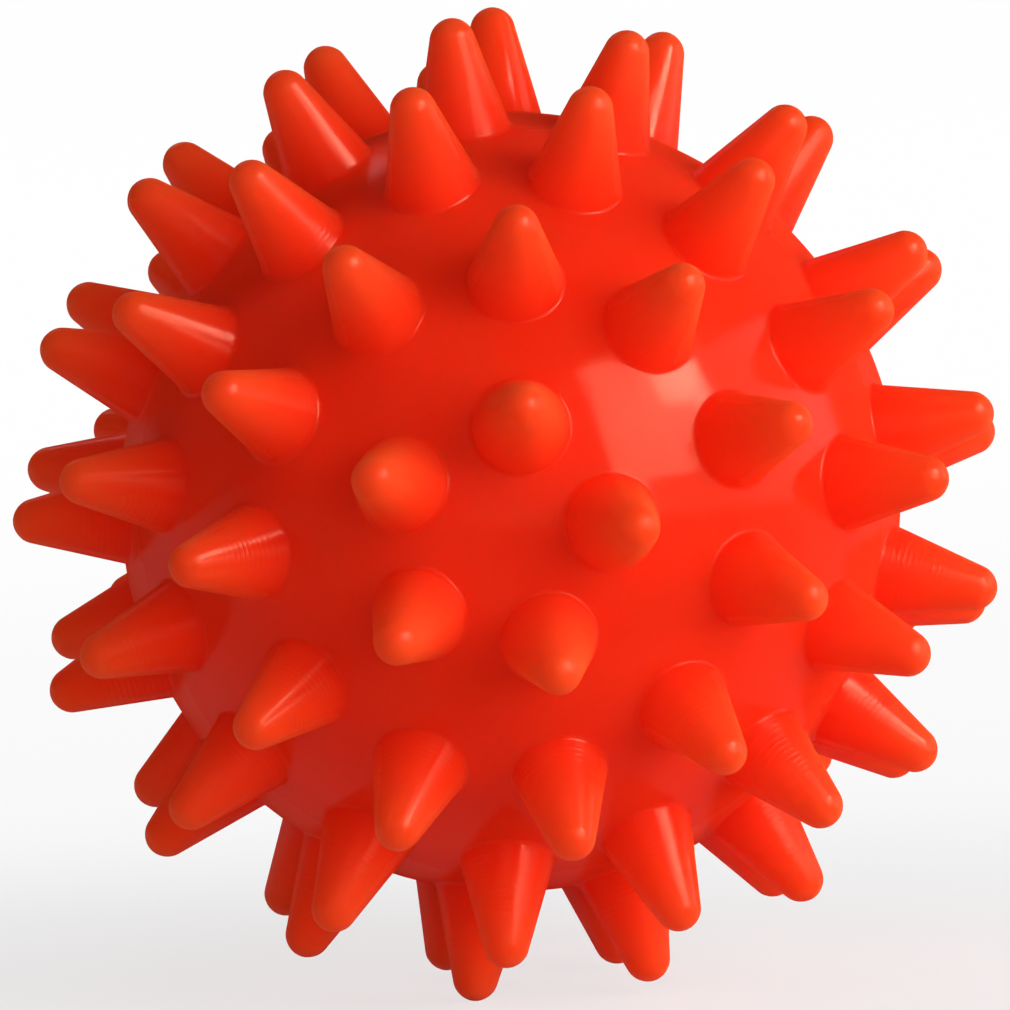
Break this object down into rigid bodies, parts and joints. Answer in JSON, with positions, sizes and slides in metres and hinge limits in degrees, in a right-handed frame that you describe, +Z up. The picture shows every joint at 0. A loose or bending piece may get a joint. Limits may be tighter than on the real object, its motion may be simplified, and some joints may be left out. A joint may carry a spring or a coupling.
{
  "type": "sensory ball",
  "caption": "Hollow ball of soft PVC covered in rows of blunt, rounded spikes, for gripping, rolling and squeezing, with a push-in plug in its filling hole.",
  "frame": {"origin": "centre of the ball", "axes": "+Y along the mould axis, from the front pole to the back pole that has the plug; +Z up as the ball lies on the tips of three spikes of its equator rows"},
  "size_m": [0.074, 0.0726, 0.0739],
  "materials": {
    "soft_pvc": "glossy, slightly see-through soft PVC",
    "plug_pvc": "satin, milky soft PVC"
  },
  "bodies": {
    "ball": {"ball_skin": "soft_pvc", "front_pole_spikes": "soft_pvc", "front_shoulder_spikes": "soft_pvc", "front_side_spikes": "soft_pvc", "front_equator_spikes": "soft_pvc", "back_equator_spikes": "soft_pvc", "back_side_spikes": "soft_pvc", "back_shoulder_spikes": "soft_pvc", "back_pole_spikes": "soft_pvc"},
    "plug": {"valve_plug": "plug_pvc"}
  },
  "joints": [
    {"name": "plug_pull", "type": "slide", "parent": "ball", "child": "plug", "axis": [0, 1, 0], "range_m": [0, 0.012]}
  ]
}
